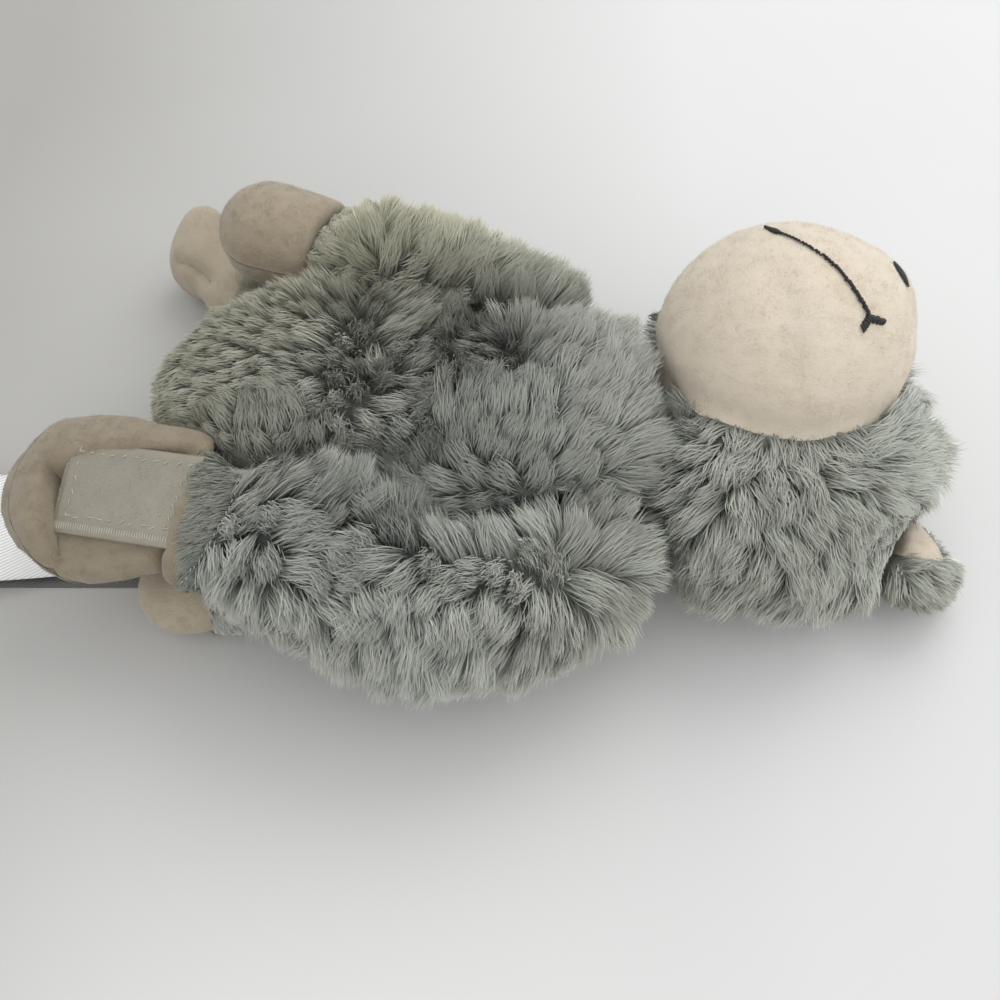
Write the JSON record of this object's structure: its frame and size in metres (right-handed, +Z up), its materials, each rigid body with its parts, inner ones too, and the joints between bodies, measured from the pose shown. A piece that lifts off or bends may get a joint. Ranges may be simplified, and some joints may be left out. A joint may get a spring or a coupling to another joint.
{
  "type": "plush sloth",
  "caption": "Small long-fur plush sloth lying on its back, with velour face, paws and feet, embroidered features, and fastener tape on the palms so that the hands can clasp.",
  "frame": {"origin": "the middle of the flat back, where the toy rests on the table", "axes": "+X from the rump to the head, +Z up out of the belly, the toy's left side at -Y"},
  "size_m": [0.225, 0.133, 0.0656],
  "materials": {
    "fur": "long crimped pile",
    "cuff_fur": "short dense pile",
    "velour": "short brushed nap",
    "stuffing": "loose fibre fill",
    "fastener_tape": "woven nylon tape with hooks or loops",
    "thread": "satin stitched thread",
    "satin": "woven satin"
  },
  "bodies": {
    "torso": {"belly_fur_panel": "fur", "chest_yoke_fur_panel": "fur", "back_fur_panel": "fur", "torso_stuffing": "stuffing"},
    "head": {"hood_fur_panel": "fur", "face_velour_panel": "velour", "head_stuffing": "stuffing", "mouth_stitching": "thread", "nose_stitching": "thread", "left_eye_stitching": "thread", "right_eye_stitching": "thread"},
    "left_ear": {"left_ear_fur_back": "fur", "left_ear_velour_lining": "velour"},
    "right_ear": {"right_ear_fur_back": "fur", "right_ear_velour_lining": "velour"},
    "left_arm": {"left_arm_upper_fur_panel": "fur", "left_arm_under_fur_panel": "fur", "left_arm_cuff_band": "cuff_fur", "left_arm_stuffing": "stuffing"},
    "left_paw": {"left_paw_palm_panel": "velour", "left_paw_back_panel": "velour", "left_paw_stuffing": "stuffing", "left_palm_hook_tape": "fastener_tape"},
    "right_arm": {"right_arm_upper_fur_panel": "fur", "right_arm_under_fur_panel": "fur", "right_arm_cuff_band": "cuff_fur", "right_arm_stuffing": "stuffing"},
    "right_paw": {"right_paw_palm_panel": "velour", "right_paw_back_panel": "velour", "right_paw_stuffing": "stuffing", "right_palm_loop_tape": "fastener_tape"},
    "left_leg": {"left_leg_fur_sleeve": "fur", "left_foot_velour": "velour", "left_leg_stuffing": "stuffing"},
    "right_leg": {"right_leg_fur_sleeve": "fur", "right_foot_velour": "velour", "right_leg_stuffing": "stuffing"},
    "label": {"care_label": "satin"}
  },
  "joints": [
    {"name": "neck_turn", "type": "hinge", "parent": "torso", "child": "head", "pos_m": [0.0325, 0.002, 0.022], "axis": [1, 0, 0], "range_deg": [-50, 35]},
    {"name": "left_ear_fold", "type": "hinge", "parent": "head", "child": "left_ear", "pos_m": [0.08449, -0.01365, 0.01721], "axis": [-0.4268, -0.7596, 0.4908], "range_deg": [0, 27]},
    {"name": "right_ear_fold", "type": "hinge", "parent": "head", "child": "right_ear", "pos_m": [0.05418, 0.02965, 0.02124], "axis": [0.8147, 0.2057, -0.5422], "range_deg": [0, 27]},
    {"name": "left_shoulder_swing", "type": "hinge", "parent": "torso", "child": "left_arm", "pos_m": [0.017, -0.0295, 0.0215], "axis": [0, 0, 1], "range_deg": [0, 100]},
    {"name": "left_wrist_fold", "type": "hinge", "parent": "left_arm", "child": "left_paw", "pos_m": [-0.06388, -0.02189, 0.0388], "axis": [0.1766, 0.9621, 0.2078], "range_deg": [0, 80]},
    {"name": "right_shoulder_swing", "type": "hinge", "parent": "torso", "child": "right_arm", "pos_m": [0.005, 0.0285, 0.027], "axis": [0, 0, -1], "range_deg": [0, 85]},
    {"name": "right_wrist_fold", "type": "hinge", "parent": "right_arm", "child": "right_paw", "pos_m": [-0.03928, 0.04761, 0.04801], "axis": [0.4305, 0.9026, 0], "range_deg": [0, 60]},
    {"name": "left_hip_spread", "type": "hinge", "parent": "torso", "child": "left_leg", "pos_m": [-0.036, -0.0265, 0.0079], "axis": [0, 0, 1], "range_deg": [0, 60]},
    {"name": "right_hip_spread", "type": "hinge", "parent": "torso", "child": "right_leg", "pos_m": [-0.058, 0.0435, 0.0086], "axis": [0, 0, -1], "range_deg": [0, 45]},
    {"name": "label_lift", "type": "hinge", "parent": "torso", "child": "label", "pos_m": [-0.05891, 0.00046, 0.0005], "axis": [-0.1736, 0.9848, 0], "range_deg": [0, 15]}
  ]
}
